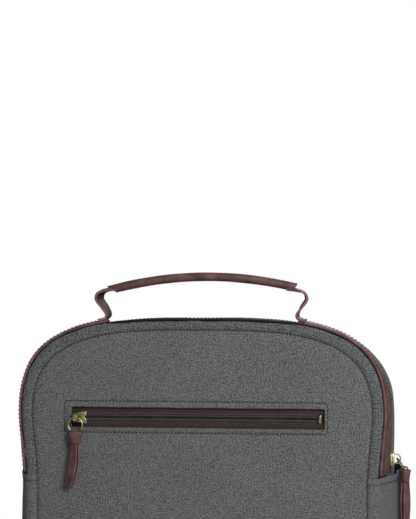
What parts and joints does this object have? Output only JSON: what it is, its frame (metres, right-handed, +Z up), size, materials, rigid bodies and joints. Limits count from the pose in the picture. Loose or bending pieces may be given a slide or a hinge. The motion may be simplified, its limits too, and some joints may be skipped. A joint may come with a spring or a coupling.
{
  "type": "travel backpack",
  "caption": "Canvas travel backpack with leather trim, a rolled top handle, a zipped front flap, a welt front pocket, side pockets and padded shoulder straps.",
  "frame": {"origin": "middle of the base panel's underside", "axes": "+Z up, -Y towards the front panel, +X to the right seen from the front"},
  "size_m": [0.3246, 0.1808, 0.4144],
  "materials": {
    "canvas": "washed heathered canvas",
    "black_canvas": "plain woven, matte",
    "navy_canvas": "plain woven, matte",
    "leather": "oiled, slightly worn edges",
    "lining": "plain woven lining",
    "zip_tape": "woven zip tape",
    "brass": "antique, brushed",
    "coil": "satin",
    "webbing": "ribbed webbing",
    "foam": "closed cell foam",
    "mesh_fabric": "spacer mesh",
    "board": "plain stiffener",
    "buckle_plastic": "moulded, satin"
  },
  "bodies": {
    "bag": {"front_panel_lower": "canvas", "base_panel": "leather", "base_board": "board", "gusset_rear": "canvas", "side_panel_left": "canvas", "side_panel_right": "canvas", "main_teeth_rear": "brass", "main_tape_rear": "zip_tape", "main_lining": "lining", "back_foam": "foam", "back_panel": "canvas", "back_pad": "mesh_fabric", "laptop_sleeve": "lining", "side_pocket_left": "canvas", "side_pocket_right": "canvas", "pocket_gusset_left": "navy_canvas", "pocket_gusset_right": "navy_canvas", "shoulder_yoke": "leather", "hang_loop": "webbing", "anchor_tab_left": "leather", "anchor_tab_right": "leather"},
    "flap": {"front_panel_upper": "canvas", "front_strip": "black_canvas", "main_tape_front": "zip_tape", "main_teeth_front": "brass", "leather_strip_left": "leather", "leather_strip_right": "leather", "pocket_frame": "canvas", "pocket_tape_lower": "zip_tape", "pocket_tape_upper": "zip_tape", "pocket_coil": "coil", "pocket_zip_stop": "brass", "front_pocket_bag": "lining"},
    "handle": {"handle_strap_left": "leather", "handle_strap_right": "leather", "handle_grip": "leather", "handle_core": "foam"},
    "pocket_slider": {"pocket_slider": "brass"},
    "pocket_ring": {"pocket_ring": "brass"},
    "pocket_pull": {"pocket_pull": "leather"},
    "main_slider": {"main_slider": "brass"},
    "main_ring": {"main_ring": "brass"},
    "main_pull": {"main_pull": "leather"},
    "strap_left": {"shoulder_pad_left": "canvas", "strap_buckle_left": "buckle_plastic", "strap_webbing_left": "webbing", "webbing_tail_left": "webbing"},
    "strap_right": {"shoulder_pad_right": "canvas", "strap_buckle_right": "buckle_plastic", "strap_webbing_right": "webbing", "webbing_tail_right": "webbing"}
  },
  "joints": [
    {"name": "flap_open", "type": "hinge", "parent": "bag", "child": "flap", "pos_m": [0, -0.06, 0.24], "axis": [1, 0, 0], "range_deg": [0, 75]},
    {"name": "handle_fold", "type": "hinge", "parent": "flap", "child": "handle", "pos_m": [0, -0.048, 0.379], "axis": [1, 0, 0], "range_deg": [-35, 35]},
    {"name": "pocket_slider_slide", "type": "slide", "parent": "flap", "child": "pocket_slider", "axis": [1, 0, 0], "range_m": [0, 0.186]},
    {"name": "pocket_ring_swing", "type": "hinge", "parent": "pocket_slider", "child": "pocket_ring", "pos_m": [-0.10075, -0.0659, 0.2975], "axis": [-1, 0, 0], "range_deg": [0, 80]},
    {"name": "pocket_pull_swing", "type": "hinge", "parent": "pocket_ring", "child": "pocket_pull", "pos_m": [-0.10075, -0.06711, 0.28596], "axis": [-1, 0, 0], "range_deg": [0, 30]},
    {"name": "main_slider_slide", "type": "slide", "parent": "bag", "child": "main_slider", "axis": [0, 0, 1], "range_m": [0, 0.04]},
    {"name": "main_ring_swing", "type": "hinge", "parent": "main_slider", "child": "main_ring", "pos_m": [0.1559, -0.0297, 0.264], "axis": [0, -1, 0], "range_deg": [0, 50]},
    {"name": "main_pull_swing", "type": "hinge", "parent": "main_ring", "child": "main_pull", "pos_m": [0.16255, -0.0297, 0.2545], "axis": [0, -1, 0], "range_deg": [0, 30]},
    {"name": "strap_left_swing", "type": "hinge", "parent": "bag", "child": "strap_left", "pos_m": [-0.048, 0.065, 0.352], "axis": [-0.2244, 0, -0.9745], "range_deg": [-18, 18]},
    {"name": "strap_right_swing", "type": "hinge", "parent": "bag", "child": "strap_right", "pos_m": [0.048, 0.065, 0.352], "axis": [0.2244, 0, -0.9745], "range_deg": [-18, 18]}
  ]
}
